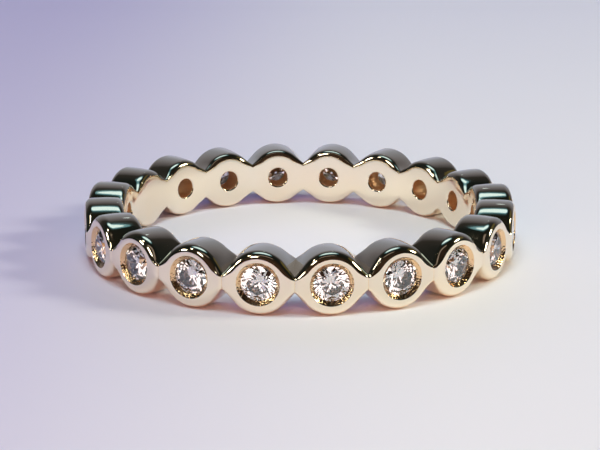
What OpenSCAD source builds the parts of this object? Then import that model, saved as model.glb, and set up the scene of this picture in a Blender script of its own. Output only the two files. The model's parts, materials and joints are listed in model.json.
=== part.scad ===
// Stacking ring: a full circle of round settings joined by narrow necks, each with a
// brilliant-cut stone. The ring lies on its side on z = 0, round the Z axis, and the neck
// between the first setting and the last one is at -Y.

/* [Band] */
// Inside diameter of the ring
bore_d = 17; // [15:0.5:20]
// Bevel round both ends of the finger hole
bore_bevel = 0.3; // [0.1:0.05:0.4]
// Wall from the finger to the face of a setting
wall_t = 1.85; // [1.75:0.05:2.2]

/* [Settings] */
// Number of settings in the full circle
setting_count = 20; // [18:1:22]
// Diameter of a setting, which is the width of the band
setting_d = 2.95; // [2.8:0.05:3]
// Rounding between the face of a setting and its side
shoulder_r = 0.4; // [0.3:0.05:0.45]
// Width of the flat on a neck, where two faces meet
neck_w = 0.4; // [0.3:0.02:0.5]
// Rounding of a neck's outer edges
neck_r = 0.2; // [0.1:0.02:0.26]
// How much a neck widens on each side from its outer edges to the finger hole
neck_rise = 0.32; // [0.1:0.02:0.4]
// Setting that has no hole on the inside, where the wall is left whole
plain_inside = 14; // [0:1:22]

/* [Stones] */
// Diameter of a stone
stone_d = 1.75; // [1.6:0.05:1.8]
// Width of the table as a share of the stone
table_ratio = 0.57; // [0.53:0.01:0.6]
// Height of the crown
crown_h = 0.24; // [0.2:0.01:0.27]
// Depth of the pavilion
pavilion_h = 0.74; // [0.7:0.01:0.74]
// Height of the girdle
girdle_h = 0.045; // [0.03:0.005:0.06]
// Depth of the table below the face of the setting
table_sink = 0.03; // [0:0.01:0.08]

/* [Seats] */
// Diameter of the bright-cut hole at the face
mouth_d = 1.96; // [1.9:0.01:2]
// Diameter of the lip that holds the stone
lip_d = 1.58; // [1.5:0.01:1.6]
// Height of that lip's upright edge
lip_land = 0.02; // [0.01:0.005:0.04]
// Clearance round the stone
seat_gap = 0.02; // [0.01:0.005:0.04]
// Diameter of the hole that opens each seat to the inside
light_hole_d = 0.96; // [0.6:0.02:1.1]
// Bevel round that hole
light_hole_bevel = 0.08; // [0.02:0.02:0.1]

/* [Hidden] */
$fn = 64;
eps = 0.01;
// How far a cutter runs past what it cuts
overshoot = 1;
// Space left under the culet where the setting has no hole on the inside
culet_room = 0.1;

bore_r = bore_d / 2;
face_r = bore_r + wall_t;
setting_r = setting_d / 2;
setting_step = 360 / setting_count;
mid_z = setting_r;

// The neck's top edge leaves the circle of the setting at corner and meets the next one
// at tip, halfway to it. The corner is set a little inside the circle, so that the edge
// crosses it at a clear angle.
corner_inset = 0.985;
tip = [face_r * tan(setting_step / 2), neck_w / 2];
corner_angle = atan2(tip.y, tip.x) + acos(setting_r / norm(tip));
corner = corner_inset * setting_r * [cos(corner_angle), sin(corner_angle)];

// Depths below the face of a setting, towards the middle of the ring
girdle_top = table_sink + crown_h;
girdle_bottom = girdle_top + girdle_h;
pavilion_slope = pavilion_h / (stone_d / 2);
seat_r = stone_d / 2 + seat_gap;
lip_r = lip_d / 2;
light_hole_r = light_hole_d / 2;
cone_end = girdle_bottom + seat_gap + (seat_r - light_hole_r) * pavilion_slope;
crown_slope = crown_h / (stone_d / 2 * (1 - table_ratio));
lip_end = girdle_top - seat_gap - (seat_r - lip_r) * crown_slope;
blind_depth = girdle_bottom + pavilion_h + culet_room;
through_depth = wall_t + setting_r;

// A brilliant has eight mains, so eight corners to the table and sixteen round the girdle
mains = 8;
half_main = 180 / mains;
star_length = 0.5;
lower_half_length = 0.77;
stone_twist = 47;

function stone_name(i) = str("stone_", i < 10 ? "0" : "", i);

// Turns a shape made round +Z, with its face at z = 0, out to the place of setting i
module at_setting(i) {
    rotate([0, 0, (i - 0.5) * setting_step])
        translate([0, -face_r, mid_z])
            rotate([90, 0, 0]) children();
}

// One setting: a flat face, a rounded shoulder and a straight side
module setting_body() {
    rotate_extrude() difference() {
        translate([0, -through_depth]) square([setting_r, through_depth]);
        translate([setting_r - shoulder_r, -shoulder_r]) difference() {
            square(shoulder_r + eps);
            circle(shoulder_r);
        }
    }
}

// Straight-sided outline that runs from the round of a setting to its two necks
module neck_body() {
    translate([0, 0, -through_depth])
        linear_extrude(through_depth + wall_t)
            polygon([
                tip, corner, [-corner.x, corner.y], [-tip.x, tip.y],
                [-tip.x, -tip.y], [-corner.x, -corner.y], [corner.x, -corner.y], [tip.x, -tip.y]
            ]);
}

// Lathe-turned ring that gives the necks their outer face and its rounded edges
module neck_envelope() {
    round_z = neck_w / 2;
    translate([0, 0, mid_z]) rotate_extrude() union() {
        translate([0, -setting_r]) square([face_r - shoulder_r, setting_d]);
        translate([0, -round_z]) square([face_r + eps, neck_w]);
        for (side = [-1, 1])
            translate([face_r - shoulder_r + eps, side * round_z]) circle(shoulder_r);
    }
}

// Lathe-turned ring behind the faces, rounded outside and wider towards the finger hole
module neck_ring() {
    edge_r = face_r - neck_r;
    edge_z = neck_w / 2;
    translate([0, 0, mid_z]) rotate_extrude() union() {
        polygon([
            [bore_r - eps, -edge_z - neck_r - neck_rise], [edge_r, -edge_z - neck_r], [edge_r, -edge_z],
            [face_r, -edge_z], [face_r, edge_z],
            [edge_r, edge_z], [edge_r, edge_z + neck_r], [bore_r - eps, edge_z + neck_r + neck_rise]
        ]);
        for (side = [-1, 1]) translate([edge_r, side * edge_z]) circle(neck_r);
    }
}

// Hole for a stone: bright-cut mouth, lip, groove for the girdle, cone and light hole
module seat(end_depth) {
    rotate_extrude() polygon([
        [0, wall_t], [mouth_d / 2, wall_t], [mouth_d / 2, 0],
        [lip_r, lip_land - lip_end], [lip_r, -lip_end],
        [seat_r, -(girdle_top - seat_gap)], [seat_r, -(girdle_bottom + seat_gap)],
        [light_hole_r, -cone_end], [light_hole_r, -end_depth], [0, -end_depth]
    ]);
}

// Bevel round a light hole, cut a little past the bore because the bore is round
module light_hole_rim() {
    rotate_extrude() polygon([
        [0, -wall_t + light_hole_bevel], [light_hole_r, -wall_t + light_hole_bevel],
        [light_hole_r + 2 * light_hole_bevel, -wall_t - light_hole_bevel], [0, -wall_t - light_hole_bevel]
    ]);
}

// Finger hole, with a bevel that eases both its ends
module finger_hole() {
    translate([0, 0, mid_z]) rotate_extrude($fn = 180) polygon([
        [0, -mid_z - overshoot], [bore_r + bore_bevel + overshoot, -mid_z - overshoot],
        [bore_r, bore_bevel - mid_z], [bore_r, mid_z - bore_bevel],
        [bore_r + bore_bevel + overshoot, mid_z + overshoot], [0, mid_z + overshoot]
    ]);
}

// All the metal is one casting: settings, necks, bore and seats
module band() {
    color("#e9c9a4") difference() {
        union() {
            for (i = [1:setting_count]) at_setting(i) setting_body();
            intersection() {
                union() for (i = [1:setting_count]) at_setting(i) neck_body();
                neck_envelope();
            }
            neck_ring();
        }
        finger_hole();
        for (i = [1:setting_count]) at_setting(i) {
            seat(i == plain_inside ? blind_depth : through_depth);
            if (i != plain_inside) light_hole_rim();
        }
    }
}

function ring_of(count, r, z, start) =
    [for (k = [0:count - 1]) let (a = start + k * 360 / count) [r * cos(a), r * sin(a), z]];

// Round brilliant with its girdle's top edge at z = 0: octagonal table, stars, kites,
// upper and lower girdle facets and pavilion mains, 57 facets and the girdle
module brilliant() {
    girdle_r = stone_d / 2;
    table_r = girdle_r * table_ratio;
    table_edge = table_r * cos(half_main);
    star_r = table_edge + star_length * (girdle_r - table_edge);
    star_z = crown_h * (girdle_r - star_r * cos(half_main)) / (girdle_r - table_r);
    lower_r = girdle_r * (1 - lower_half_length);
    lower_z = -girdle_h - pavilion_h * (1 - lower_r * cos(half_main) / girdle_r);

    table = 0;
    star = mains;
    top = 2 * mains;
    bottom = 4 * mains;
    lower = 6 * mains;
    culet = 7 * mains;
    points = concat(
        ring_of(mains, table_r, crown_h, 0),
        ring_of(mains, star_r, star_z, half_main),
        ring_of(2 * mains, girdle_r, 0, 0),
        ring_of(2 * mains, girdle_r, -girdle_h, 0),
        ring_of(mains, lower_r, lower_z, half_main),
        [[0, 0, -girdle_h - pavilion_h]]
    );
    // Facets are listed clockwise as seen from outside; k is a main and n the next one
    faces = concat(
        [[for (k = [mains - 1:-1:0]) table + k]],
        [for (k = [0:mains - 1]) let (n = (k + 1) % mains, g = 2 * k, h = (2 * k + 2) % (2 * mains))
            each [
                [table + k, table + n, star + k],
                [table + n, top + h, star + k],
                [star + k, top + h, top + g + 1],
                [star + k, top + g + 1, top + g],
                [table + k, star + k, top + g],
                [top + g, top + g + 1, bottom + g + 1, bottom + g],
                [top + g + 1, top + h, bottom + h, bottom + g + 1],
                [bottom + g, bottom + g + 1, lower + k],
                [bottom + g + 1, bottom + h, lower + k],
                [bottom + g, lower + k, culet],
                [bottom + h, culet, lower + k]
            ]
        ]
    );
    polyhedron(points, faces);
}

module stone(i) {
    color("#eef0f6") at_setting(i)
        translate([0, 0, -girdle_top]) rotate([0, 0, i * stone_twist]) brilliant();
}

band();
for (i = [1:setting_count])
    stone(i);
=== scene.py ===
"""Stacking ring: a full circle of round settings in polished rose gold, each with a cut diamond.

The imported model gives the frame. Its stones are shown as they are, with a diamond's material. Its band
is replaced by a finer casting of the same sizes, with the soft shoulders, full sides and deepening
valleys of a ring that was finished by hand. Lengths are in millimetres until a mesh or lamp is made.
"""

import json
import math

import bmesh
import bpy
import numpy as np
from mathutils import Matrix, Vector


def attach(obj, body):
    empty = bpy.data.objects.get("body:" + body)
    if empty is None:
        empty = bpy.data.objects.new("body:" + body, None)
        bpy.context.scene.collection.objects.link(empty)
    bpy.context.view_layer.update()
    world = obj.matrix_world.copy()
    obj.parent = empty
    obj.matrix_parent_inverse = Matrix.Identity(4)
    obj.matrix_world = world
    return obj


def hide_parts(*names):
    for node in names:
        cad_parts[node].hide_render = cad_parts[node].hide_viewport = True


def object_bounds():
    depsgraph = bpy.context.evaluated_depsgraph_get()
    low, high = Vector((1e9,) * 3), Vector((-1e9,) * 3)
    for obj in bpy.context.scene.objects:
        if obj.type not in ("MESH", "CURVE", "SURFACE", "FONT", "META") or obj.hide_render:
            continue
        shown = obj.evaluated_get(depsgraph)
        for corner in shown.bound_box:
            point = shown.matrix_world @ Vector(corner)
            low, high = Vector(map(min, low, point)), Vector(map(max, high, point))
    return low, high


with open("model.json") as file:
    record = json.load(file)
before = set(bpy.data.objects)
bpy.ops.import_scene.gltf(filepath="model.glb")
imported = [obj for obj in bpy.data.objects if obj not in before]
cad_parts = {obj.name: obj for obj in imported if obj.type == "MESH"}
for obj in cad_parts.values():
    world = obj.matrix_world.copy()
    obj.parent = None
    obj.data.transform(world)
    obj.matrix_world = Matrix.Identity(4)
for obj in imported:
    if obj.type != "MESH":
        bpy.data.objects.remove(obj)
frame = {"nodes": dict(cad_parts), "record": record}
cad_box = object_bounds()

MM = 0.001
RIGHT_ANGLE = math.pi / 2

# Sizes of the ring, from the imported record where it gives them
finger_bore = next(m for m in frame["record"]["mounts"] if m["name"] == "finger_bore")
STONES = sorted(name for name in frame["nodes"] if name.startswith("stone_"))
BORE_R = finger_bore["dims"]["r_mm"]
WIDTH = (cad_box[1][2] - cad_box[0][2]) / MM
WALL = 1.85
FACE_R = BORE_R + WALL
SETTING_R = WIDTH / 2
HALF_STEP = math.pi / len(STONES)
PLAIN_INSIDE = 14

# Flat face of a setting: a circle round the stone, drawn out in a blunt point to each neck
FACE_EDGE_R = 1.09
FACE_EDGE_BLEND = 14
NECK_FACE_Z = 0.2
POINT_SLOPE = 0.45
NECK_BEND_X = 1.5
NECK_BEND_DEPTH = 0.08

# Shoulder from the face to the side, narrower in the valley between two settings
SHOULDER_DEPTH = 0.4
VALLEY_SHOULDER_DEPTH = 0.33
SHOULDER_SPREAD = 0.4

# Side of a setting, and the valley where two sides meet
SIDE_FULLNESS = 0.059
FULLEST_DEPTH = 0.8
VALLEY_Z = 0.39
VALLEY_RISE = 0.23

# Rounded edge between the side and the finger hole, tighter in the valleys
INNER_ROUND = 0.32
VALLEY_INNER_ROUND = 0.2
INNER_ROUND_SPREAD = 0.4

# Seat: rounded mouth, bright cut, lip, groove for the girdle, cone and light hole
MOUTH_R = 0.965
MOUTH_ROUND = 0.025
MOUTH_TURNS = np.radians([30, 60])
LIP_R = 0.79
LIP_DEPTHS = (0.163, 0.183)
GROOVE_R = 0.895
GROOVE_DEPTHS = (0.25, 0.335)
CONE_END = 0.686
LIGHT_HOLE_R = 0.48
LIGHT_HOLE_ROUND = 0.08
LIGHT_HOLE_TURNS = np.radians([22, 45, 68, 90])
BLIND_DEPTH = 1.155

# Columns and rows of the grids; a setting has four quarters. Crowding draws the columns together
# at the valley and the face's rows together at its edge, where the shape bends most.
NECK_COLUMNS = 4
QUARTER_COLUMNS = 20
COLUMN_CROWDING = 1.3
FACE_ROWS = 7
FACE_ROW_CROWDING = 1.6
SHOULDER_ROWS = 12
SIDE_ROWS = 8
INNER_EDGE_ROWS = 8
BORE_ROWS = 6

# Passes that find the corner of side and bore, points near enough to merge, and edges kept sharp
CORNER_PASSES = 8
MERGE_DISTANCE = 1e-4
SHARP_ANGLE = math.radians(30)

# Camera: 115 mm lens on a 36 mm sensor, as the photograph's perspective asks, with its place in degrees
SENSOR = 36
LENS = 115.1
CAMERA_DISTANCE = 93.04
CAMERA_ELEVATION = 15.94
CAMERA_AZIMUTH = 1.21
AIM = (0.006, 0, 1.2575)

# Distances of the lamps that the gold mirrors, of the rim and halos behind them, and of the others
MIRRORED_DISTANCE = 400
RIM_DISTANCE = 410
HALO_DISTANCE = 420
UNSEEN_DISTANCE = 300

# Sheet that the ring lies on, far wider than the view
TABLE_SIZE = 1200


def smooth_step(t):
    """Goes from 0 to 1 with level ends: three times t squared less twice t cubed."""
    t = np.clip(t, 0, 1)
    return t * t * (3 - 2 * t)


def crease_x(depth):
    """Distance along the band from a setting's middle to the plane between two settings."""
    return (FACE_R - depth) * math.tan(HALF_STEP)


def bore_depth(x):
    """Depth of the finger hole's wall below a face: the face's distance less the circle's height."""
    return FACE_R - np.sqrt(BORE_R ** 2 - x ** 2)


def face_depth(x):
    """Depth of the flat face, which bends back as the square of the way from NECK_BEND_X to the crease."""
    way = (np.abs(x) - NECK_BEND_X) / (crease_x(NECK_BEND_DEPTH) - NECK_BEND_X)
    return NECK_BEND_DEPTH * np.maximum(way, 0) ** 2


def side_radius(depth):
    """Radius of the round side: fullest at one depth, and less by the square of the distance from it."""
    return SETTING_R - SIDE_FULLNESS * (depth - FULLEST_DEPTH) ** 2


def side_outline(c, depth):
    """Point on the side at a depth, from the valley at c = 0 to the top at c = 1.

    The valley's bottom lies on the plane between two settings and climbs in a straight line with
    depth. From it a straight line runs to where it touches the round side, which goes on to the top.
    """
    valley_x = crease_x(depth)
    valley_z = VALLEY_Z + VALLEY_RISE * (depth - VALLEY_SHOULDER_DEPTH)
    start = np.arctan2(valley_z, valley_x)
    touch = start + np.arccos(side_radius(depth) / np.hypot(valley_x, valley_z))
    angle = start + c * (RIGHT_ANGLE - start)
    radius = side_radius(depth) / np.cos(np.maximum(touch - angle, 0))
    return radius * np.cos(angle), radius * np.sin(angle)


def face_outline(c):
    """Point on the face's edge, from the crease at c = 0 to the top at c = 1.

    The edge's radius blends a circle's and a straight line's: the sum of their high powers, rooted.
    """
    neck_x = crease_x(NECK_BEND_DEPTH)
    start = math.atan2(NECK_FACE_Z, neck_x)
    angle = start + c * (RIGHT_ANGLE - start)
    line = (NECK_FACE_Z + POINT_SLOPE * neck_x) / (np.sin(angle) + POINT_SLOPE * np.cos(angle))
    radius = (FACE_EDGE_R ** FACE_EDGE_BLEND + line ** FACE_EDGE_BLEND) ** (1 / FACE_EDGE_BLEND)
    x, z = radius * np.cos(angle), radius * np.sin(angle)
    return np.where(c == 0, neck_x, x), np.where(c == 0, NECK_FACE_Z, z)


def side_sheet(c):
    """Grid of shoulder, side and inner edge: rows go from the face to the bore, columns follow c.

    The shoulder is a quarter of an ellipse from the face's edge to the side. The side follows its
    outline down to the inner edge, a curve whose two ends point along the side and the bore.
    """
    face_x, face_z = face_outline(c)
    deepening = smooth_step(c / SHOULDER_SPREAD)
    shoulder = VALLEY_SHOULDER_DEPTH + (SHOULDER_DEPTH - VALLEY_SHOULDER_DEPTH) * deepening
    side_x, side_z = side_outline(c, shoulder)
    turn = np.linspace(0, RIGHT_ANGLE, SHOULDER_ROWS + 1)[:, None]
    depth = face_depth(face_x) + (shoulder - face_depth(face_x)) * (1 - np.cos(turn))
    x = face_x + (side_x - face_x) * np.sin(turn)
    z = face_z + (side_z - face_z) * np.sin(turn)
    rows = [np.stack([np.where(c == 0, crease_x(depth), x), z, depth], -1)]

    # The side and the bore meet where each gives the other's depth, so the passes go to and fro
    corner_depth = np.full_like(c, WALL)
    for _ in range(CORNER_PASSES):
        corner_depth = bore_depth(side_outline(c, corner_depth)[0])
    down = np.linspace(0, 1, SIDE_ROWS + 1)[1:, None]
    lean = smooth_step(c / INNER_ROUND_SPREAD)
    inner_round = VALLEY_INNER_ROUND + (INNER_ROUND - VALLEY_INNER_ROUND) * lean
    depth = shoulder + down * (corner_depth - inner_round - shoulder)
    rows.append(np.stack([*side_outline(c, depth), depth], -1))

    corner_x, corner_z = side_outline(c, corner_depth)
    corner = np.stack([corner_x, corner_z, corner_depth], -1)
    to_middle = -corner[:, :2] / np.hypot(corner_x, corner_z)[:, None]
    inward = (1 - lean[:, None]) * [0, -1] + lean[:, None] * to_middle
    foot = corner[:, :2] + inner_round[:, None] * inward / np.hypot(*inward.T)[:, None]
    foot = np.column_stack([foot, bore_depth(foot[:, 0])])
    t = np.linspace(0, 1, INNER_EDGE_ROWS + 1)[1:, None, None]
    rows.append((1 - t) ** 2 * rows[-1][-1] + 2 * t * (1 - t) * corner + t ** 2 * foot)
    return np.concatenate(rows)


def polar(radius, angle, depth):
    """Row of points at a radius round the middle of the setting."""
    return np.stack(np.broadcast_arrays(radius * np.cos(angle), radius * np.sin(angle), depth), -1)


def front_sheet(edge, is_open):
    """Grid of face and seat: rows go in from the face's edge, round the mouth and down the seat."""
    angle = np.arctan2(edge[:, 1], edge[:, 0])
    edge_r = np.hypot(edge[:, 0], edge[:, 1])
    flat_r = MOUTH_R + MOUTH_ROUND
    way = 1 - np.linspace(0, 1, FACE_ROWS + 1)[:, None] ** FACE_ROW_CROWDING
    rows = polar(flat_r + (edge_r - flat_r) * way, angle, 0)
    rows[..., 2] = face_depth(rows[..., 0])

    round_r = flat_r - MOUTH_ROUND * np.sin(MOUTH_TURNS)
    round_depth = MOUTH_ROUND * (1 - np.cos(MOUTH_TURNS))
    profile = [*zip(round_r, round_depth), (LIP_R, LIP_DEPTHS[0]), (LIP_R, LIP_DEPTHS[1]),
               (GROOVE_R, GROOVE_DEPTHS[0]), (GROOVE_R, GROOVE_DEPTHS[1]), (LIGHT_HOLE_R, CONE_END)]
    if not is_open:
        profile += [(LIGHT_HOLE_R, BLIND_DEPTH), (0, BLIND_DEPTH)]
    return np.concatenate([rows] + [polar(r, angle, depth)[None] for r, depth in profile])


def back_sheet(edge, front_angle, is_open):
    """Grid of the finger hole's wall: rows go in from the inner edge to the light hole, and up it."""
    angle = np.arctan2(edge[:, 1], edge[:, 0])
    edge_r = np.hypot(edge[:, 0], edge[:, 1])
    rim_r = LIGHT_HOLE_R + LIGHT_HOLE_ROUND if is_open else 0
    way = np.linspace(1, 0, BORE_ROWS + 1)[:, None]
    rows = polar(rim_r + (edge_r - rim_r) * way, angle, 0)
    rows[..., 2] = bore_depth(rows[..., 0])
    if not is_open:
        return rows
    turn = LIGHT_HOLE_TURNS[:, None]
    rim = polar(rim_r - LIGHT_HOLE_ROUND * np.sin(turn), angle, 0)
    rim[..., 2] = bore_depth(rim[..., 0]) - LIGHT_HOLE_ROUND * (1 - np.cos(turn))
    return np.concatenate([rows, rim, polar(LIGHT_HOLE_R, front_angle, CONE_END)[None]])


def quads(rows, columns):
    """Four-sided faces between neighbouring rows and columns of a grid."""
    index = np.arange(rows * columns).reshape(rows, columns)
    return np.stack([index[:-1, :-1], index[:-1, 1:], index[1:, 1:], index[1:, :-1]], -1).reshape(-1, 4)


def finish_of(sheet, *starts):
    """Finish of each face in a grid: polished, and then one number up from each row in starts."""
    rows, columns = sheet.shape[0] - 1, sheet.shape[1] - 1
    return np.repeat(np.searchsorted(starts, np.arange(rows), side="right"), columns)


def setting(is_open):
    """Points, faces and finishes of one setting, from a quarter of it mirrored both ways.

    The front and back sheets have more columns than the side, up the neck from the band's middle.
    """
    c = np.linspace(0, 1, QUARTER_COLUMNS + 1) ** COLUMN_CROWDING
    side = side_sheet(c)
    up_neck = np.linspace(0, 1, NECK_COLUMNS + 1)[:-1, None]
    neck_ends = [row[0] * [1, 0, 1] + row[0] * [0, 1, 0] * up_neck for row in (side[0], side[-1])]
    front_edge, back_edge = (np.vstack(pair) for pair in zip(neck_ends, (side[0], side[-1])))
    front = front_sheet(front_edge, is_open)
    back = back_sheet(back_edge, np.arctan2(front_edge[:, 1], front_edge[:, 0]), is_open)

    # The cut starts at the mouth, and the cast skin under the lip and past the light hole's rim
    cut = FACE_ROWS + len(MOUTH_TURNS)
    skin = cut + len(LIP_DEPTHS)
    hole = BORE_ROWS + len(LIGHT_HOLE_TURNS)
    finishes = [finish_of(side), finish_of(front, cut, skin), finish_of(back, hole, hole)]
    points, faces, count = [], [], 0
    for sheet in (side, front, back):
        points.append(sheet.reshape(-1, 3))
        faces.append(quads(*sheet.shape[:2]) + count)
        count += len(points[-1])
    points, faces = np.concatenate(points), np.concatenate(faces)
    flips = [(1, 1), (-1, 1), (-1, -1), (1, -1)]
    whole = [points * [along, across, 1] for along, across in flips]
    turned = [(faces if along == across else faces[:, ::-1]) + k * count
              for k, (along, across) in enumerate(flips)]
    return np.concatenate(whole), np.concatenate(turned), np.tile(np.concatenate(finishes), len(flips))


def band_mesh():
    """The whole casting: each setting's points turned to its place round the finger hole's axis."""
    points, faces, finishes, count = [], [], [], 0
    for number in range(1, len(STONES) + 1):
        local, local_faces, local_finishes = setting(number != PLAIN_INSIDE)
        x, z, depth = local.T
        turn = (2 * number - 1) * HALF_STEP
        y = depth - FACE_R
        points.append(np.column_stack([
            x * math.cos(turn) - y * math.sin(turn),
            x * math.sin(turn) + y * math.cos(turn),
            z + SETTING_R,
        ]))
        faces.append(local_faces + count)
        finishes.append(local_finishes)
        count += len(local)
    mesh = bpy.data.meshes.new("casting")
    mesh.from_pydata(np.concatenate(points) * MM, [], np.concatenate(faces).tolist())
    mesh.polygons.foreach_set("material_index", np.concatenate(finishes))
    merged = bmesh.new()
    merged.from_mesh(mesh)
    bmesh.ops.remove_doubles(merged, verts=merged.verts, dist=MERGE_DISTANCE * MM)
    bmesh.ops.recalc_face_normals(merged, faces=merged.faces)
    merged.to_mesh(mesh)
    merged.free()
    mesh.shade_smooth()
    mesh.set_sharp_from_angle(angle=SHARP_ANGLE)
    return mesh


def linear(colour):
    """Linear red, green, blue and alpha of an sRGB hex colour."""
    parts = [int(colour[k:k + 2], 16) / 255 for k in (1, 3, 5)]
    return [p / 12.92 if p <= 0.04045 else ((p + 0.055) / 1.055) ** 2.4 for p in parts] + [1]


def add(tree, kind, inputs=None, **settings):
    """Adds one node with its settings. An input is a value, or another node's output to link."""
    node = tree.nodes.new(kind)
    for name, value in settings.items():
        setattr(node, name, value)
    for name, value in (inputs or {}).items():
        if isinstance(value, bpy.types.NodeSocket):
            tree.links.new(value, node.inputs[name])
        else:
            node.inputs[name].default_value = value
    return node


def new_material(name):
    """Empty node material with a surface shader linked to its output."""
    material = bpy.data.materials.new(name)
    material.use_nodes = True
    tree = material.node_tree
    tree.nodes.clear()
    shader = add(tree, "ShaderNodeBsdfPrincipled")
    add(tree, "ShaderNodeOutputMaterial", {"Surface": shader.outputs["BSDF"]})
    return material, tree, shader


def rose_gold(name, tints, gloss, stretch, wave, height):
    """18 carat rose gold, lost-wax cast: it mirrors what is round it, with a warm pale tint.

    A finish has two tints that it drifts between, a range of gloss, a stretch of its fine lines
    along the band, and the length and height in millimetres of its slow waves.
    """
    material, tree, shader = new_material(name)
    place = add(tree, "ShaderNodeTexCoord").outputs["Object"]
    # Patches of tone about 1.5 mm wide
    tone = add(tree, "ShaderNodeTexNoise", {"Vector": place, "Scale": 1 / (1.5 * MM), "Detail": 2})
    tones = {"Factor": tone.outputs["Fac"], "A": linear(tints[0]), "B": linear(tints[1])}
    colour = add(tree, "ShaderNodeMix", tones, data_type="RGBA")
    # Real lines are a few thousandths of a millimetre apart. To show, they are drawn 0.6 mm long and
    # 0.6 mm over the stretch apart, which is 0.05 mm on the polished gold.
    along = add(tree, "ShaderNodeMapping", {"Vector": place, "Scale": (1, 1, stretch)})
    lines = add(tree, "ShaderNodeTexNoise",
                {"Vector": along.outputs[0], "Scale": 1 / (0.6 * MM), "Detail": 3})
    shine = add(tree, "ShaderNodeMapRange",
                {"Value": lines.outputs["Fac"], "To Min": gloss[0], "To Max": gloss[1]})
    waves = add(tree, "ShaderNodeTexNoise", {"Vector": place, "Scale": 1 / (wave * MM), "Detail": 1})
    # About six parts of slow waves to one of fine lines
    relief = add(tree, "ShaderNodeMix",
                 {"Factor": 0.15, "A": waves.outputs["Fac"], "B": lines.outputs["Fac"]})
    bump = add(tree, "ShaderNodeBump",
               {"Height": relief.outputs["Result"], "Distance": height * MM, "Strength": 1})
    shader.inputs["Metallic"].default_value = 1
    tree.links.new(colour.outputs["Result"], shader.inputs["Base Color"])
    tree.links.new(shine.outputs["Result"], shader.inputs["Roughness"])
    tree.links.new(bump.outputs["Normal"], shader.inputs["Normal"])
    return material


def diamond():
    """Diamond: sawn, bruted and polished into flat facets on a lap, so it is clear and sharp-edged.

    Light bends strongly in it and comes back out in hard patches of white and dark.
    """
    material, tree, shader = new_material("diamond_cut")
    place = add(tree, "ShaderNodeTexCoord").outputs["Object"]
    # Faint patches of pink tint, from one stone to the next and across each one: painted reflection of the
    # rose gold round the stones
    cloud = add(tree, "ShaderNodeTexNoise", {"Vector": place, "Scale": 1 / (1.2 * MM), "Detail": 1})
    tints = {"Factor": cloud.outputs["Fac"], "A": linear("#fbf3f4"), "B": linear("#ffffff")}
    tint = add(tree, "ShaderNodeMix", tints, data_type="RGBA")
    tree.links.new(tint.outputs["Result"], shader.inputs["Base Color"])
    shader.inputs["Transmission Weight"].default_value = 1
    shader.inputs["IOR"].default_value = 2.42
    shader.inputs["Roughness"].default_value = 0
    return material


def table_paper():
    """Coated paper: calendered, so it is smooth and pale. Its colour carries painted shade: a violet cast
    that deepens to the left, away from the light.
    """
    material, tree, shader = new_material("coated_paper")
    place = add(tree, "ShaderNodeTexCoord").outputs["Object"]
    # Painted shade: the violet cast is full 24 mm to the left of the ring's middle, and gone 8 mm to the
    # right of it
    axes = add(tree, "ShaderNodeSeparateXYZ", {"Vector": place})
    reach = {"Value": axes.outputs["X"], "From Min": -24 * MM, "From Max": 8 * MM}
    cast = add(tree, "ShaderNodeMapRange", reach, interpolation_type="SMOOTHSTEP")
    tints = {"Factor": cast.outputs[0], "A": linear("#ccc6de"), "B": linear("#efefef")}
    colour = add(tree, "ShaderNodeMix", tints, data_type="RGBA")
    tree.links.new(colour.outputs["Result"], shader.inputs["Base Color"])
    shader.inputs["Roughness"].default_value = 0.6
    shader.inputs["Specular IOR Level"].default_value = 0.2
    return material


def toward(azimuth, elevation):
    """Unit vector to a place above the ring: azimuth 0 is the front, 90 is the right."""
    a, e = math.radians(azimuth), math.radians(elevation)
    return Vector((math.sin(a) * math.cos(e), -math.cos(a) * math.cos(e), math.sin(e)))


def soft_lamp(name, direction, distance, size, colour, radiance):
    """Oval lamp that faces the ring: its power is its radiance times pi times its area.

    The distance, and the width and height in size, are in millimetres.
    """
    lamp = bpy.data.lights.new(name, "AREA")
    lamp.shape = "ELLIPSE"
    lamp.size, lamp.size_y = size[0] * MM, size[1] * MM
    lamp.color = linear(colour)[:3]
    lamp.energy = radiance * math.pi * math.pi / 4 * lamp.size * lamp.size_y
    head = bpy.data.objects.new(name, lamp)
    head.location = direction * distance * MM
    head.rotation_euler = direction.to_track_quat("Z", "Y").to_euler()
    bpy.context.scene.collection.objects.link(head)
    return head


def glow_inside(x, radius, height, colour, power):
    """Narrow lamp from above, for the light that the finger hole's wall throws back on the table."""
    lamp = bpy.data.lights.new("glow_inside", "SPOT")
    lamp.color = linear(colour)[:3]
    lamp.energy = power
    lamp.spot_size = 2 * math.atan(radius / height)
    lamp.spot_blend = 0.6
    lamp.shadow_soft_size = 2 * MM
    head = bpy.data.objects.new("glow_inside", lamp)
    head.location = (x * MM, 0, height * MM)
    head.visible_glossy = head.visible_transmission = False
    bpy.context.scene.collection.objects.link(head)


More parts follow.
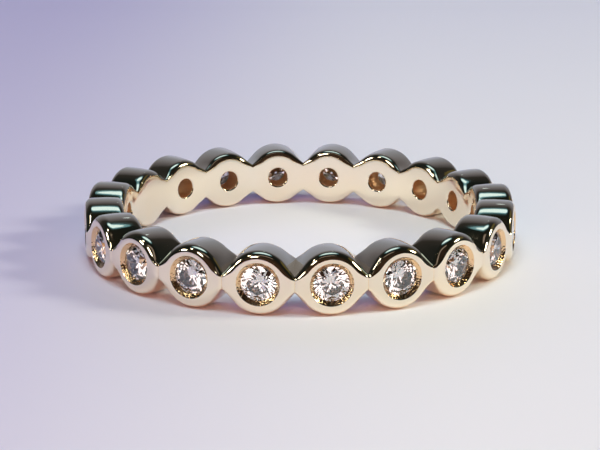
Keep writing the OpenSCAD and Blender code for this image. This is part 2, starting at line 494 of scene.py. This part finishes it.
def room():
    """World: a brown room in front, near black overhead and at the sides, and a pale wall at the back."""
    world = bpy.data.worlds.new("room")
    world.use_nodes = True
    bpy.context.scene.world = world
    tree = world.node_tree
    tree.nodes.clear()
    way = add(tree, "ShaderNodeTexCoord").outputs["Generated"]
    axes = add(tree, "ShaderNodeSeparateXYZ", {"Vector": way})
    depth = add(tree, "ShaderNodeMapRange", {"Value": axes.outputs["Y"], "From Min": -1})
    ramp = add(tree, "ShaderNodeValToRGB", {"Fac": depth.outputs["Result"]})
    stops = [(0, "#382a20"), (0.25, "#1a1812"), (0.5, "#141a19"), (0.7, "#2c2b2a"), (0.82, "#66666e"),
             (0.935, "#838997"), (0.975, "#969db0"), (0.995, "#aab1c6")]
    ramp.color_ramp.elements[0].position, ramp.color_ramp.elements[1].position = stops[0][0], stops[-1][0]
    for position, _ in stops[1:-1]:
        ramp.color_ramp.elements.new(position)
    for element, (_, colour) in zip(ramp.color_ramp.elements, stops):
        element.color = linear(colour)
    shade = add(tree, "ShaderNodeBackground", {"Color": ramp.outputs["Color"], "Strength": 1})
    add(tree, "ShaderNodeOutputWorld", {"Surface": shade.outputs["Background"]})


def camera():
    """Camera at the photograph's angle, which looks at AIM."""
    data = bpy.data.cameras.new("camera")
    data.sensor_width, data.lens = SENSOR, LENS
    data.clip_start, data.clip_end = 5 * MM, 5000 * MM
    view = bpy.data.objects.new("camera", data)
    back = toward(CAMERA_AZIMUTH, CAMERA_ELEVATION)
    view.location = (Vector(AIM) + back * CAMERA_DISTANCE) * MM
    view.rotation_euler = back.to_track_quat("Z", "Y").to_euler()
    bpy.context.scene.collection.objects.link(view)
    bpy.context.scene.camera = view


def table_top():
    """Pale sheet that the ring lies on."""
    half = TABLE_SIZE / 2 * MM
    corners = [(-half, -half, 0), (half, -half, 0), (half, half, 0), (-half, half, 0)]
    mesh = bpy.data.meshes.new("table_top")
    mesh.from_pydata(corners, [], [(0, 1, 2, 3)])
    mesh.materials.append(table_paper())
    top = bpy.data.objects.new("table_top", mesh)
    bpy.context.scene.collection.objects.link(top)
    return top


camera()
room()
# Lamps that the gold and the stones mirror. The panel has a bluer rim and a faint halo behind it, and
# the right lamp an olive halo.
mirrored = [
    soft_lamp("overhead_panel", toward(0, 94), MIRRORED_DISTANCE, (290, 116), "#e8f8ff", 0.75),
    soft_lamp("overhead_rim", toward(0, 94), RIM_DISTANCE, (360, 180), "#88cce4", 0.4),
    soft_lamp("overhead_glow", toward(0, 94), HALO_DISTANCE, (380, 300), "#90d4e8", 0.04),
    soft_lamp("left_lamp", toward(-70, 24), MIRRORED_DISTANCE, (76, 80), "#fffbe8", 14),
    soft_lamp("left_spot", toward(-62, 50), MIRRORED_DISTANCE, (36, 40), "#fffbe8", 12),
    soft_lamp("near_left_lamp", toward(-30, 35), MIRRORED_DISTANCE, (100, 90), "#fffbe8", 7),
    soft_lamp("right_lamp", toward(86, 24), MIRRORED_DISTANCE, (96, 76), "#fffbe0", 17),
    soft_lamp("right_glow", toward(98, 31), HALO_DISTANCE, (280, 170), "#c8b450", 0.12),
    soft_lamp("back_lamp", toward(173, 48), MIRRORED_DISTANCE, (22, 22), "#d8f4ff", 1),
    soft_lamp("front_strip", toward(5, 58), MIRRORED_DISTANCE, (300, 56), "#ffece0", 0.22),
]
# Lamps that the gold doesn't mirror: key and fill light the table and the stones, the other two fills
# only the table, and front_card only the stones
key = soft_lamp("key", toward(87, 30), UNSEEN_DISTANCE, (80, 70), "#ffffe8", 32)
fill = soft_lamp("fill", toward(-5, 68), UNSEEN_DISTANCE, (170, 170), "#def8ff", 7.5)
back_fill = soft_lamp("back_fill", toward(190, 22), UNSEEN_DISTANCE, (420, 200), "#7c72ff", 1.4)
front_fill = soft_lamp("front_fill", toward(-5, 22), UNSEEN_DISTANCE, (420, 160), "#ffa68a", 3.4)
front_card = soft_lamp("front_card", toward(-5, 30), UNSEEN_DISTANCE, (700, 170), "#ffeee8", 2.2)
glow_inside(x=1, radius=8.3, height=UNSEEN_DISTANCE, colour="#fff4ec", power=0.5)
for lamp in mirrored + [front_card]:
    lamp.visible_diffuse = False
for lamp in (key, fill, back_fill, front_fill, front_card):
    lamp.visible_glossy = False
for lamp in (back_fill, front_fill):
    lamp.visible_transmission = False

table_top()

casting = bpy.data.objects.new("casting", band_mesh())
# Outside and finger hole: filed, then polished with rouge on a felt wheel
casting.data.materials.append(rose_gold(
    "rose_gold_polished", ("#ffeed4", "#fff5e2"), gloss=(0.05, 0.1), stretch=12, wave=0.8, height=0.004))
# Round each stone: cut bright with a hand graver, which leaves small uneven facets. Its tint, darker and
# more orange than the polished gold's, is painted shade for the dusky reflections in the cut
casting.data.materials.append(rose_gold(
    "rose_gold_bright_cut", ("#f4c896", "#f8d8b0"), gloss=(0.1, 0.2), stretch=1, wave=0.12, height=0.05))
# Seats and light holes, where no wheel reaches: as cast, dull and coppery from the pickle. Part of the
# orange tint is painted light, standing in for warm light bounced about inside the holes
casting.data.materials.append(rose_gold(
    "rose_gold_as_cast", ("#ffc894", "#ffd8ac"), gloss=(0.4, 0.6), stretch=1, wave=0.1, height=0.004))
bpy.context.scene.collection.objects.link(casting)
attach(casting, "root")
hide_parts("band")

stone_material = diamond()
for name in STONES:
    stone = frame["nodes"][name]
    stone.data.materials.clear()
    stone.data.materials.append(stone_material)

bpy.context.scene.view_settings.view_transform = "Standard"
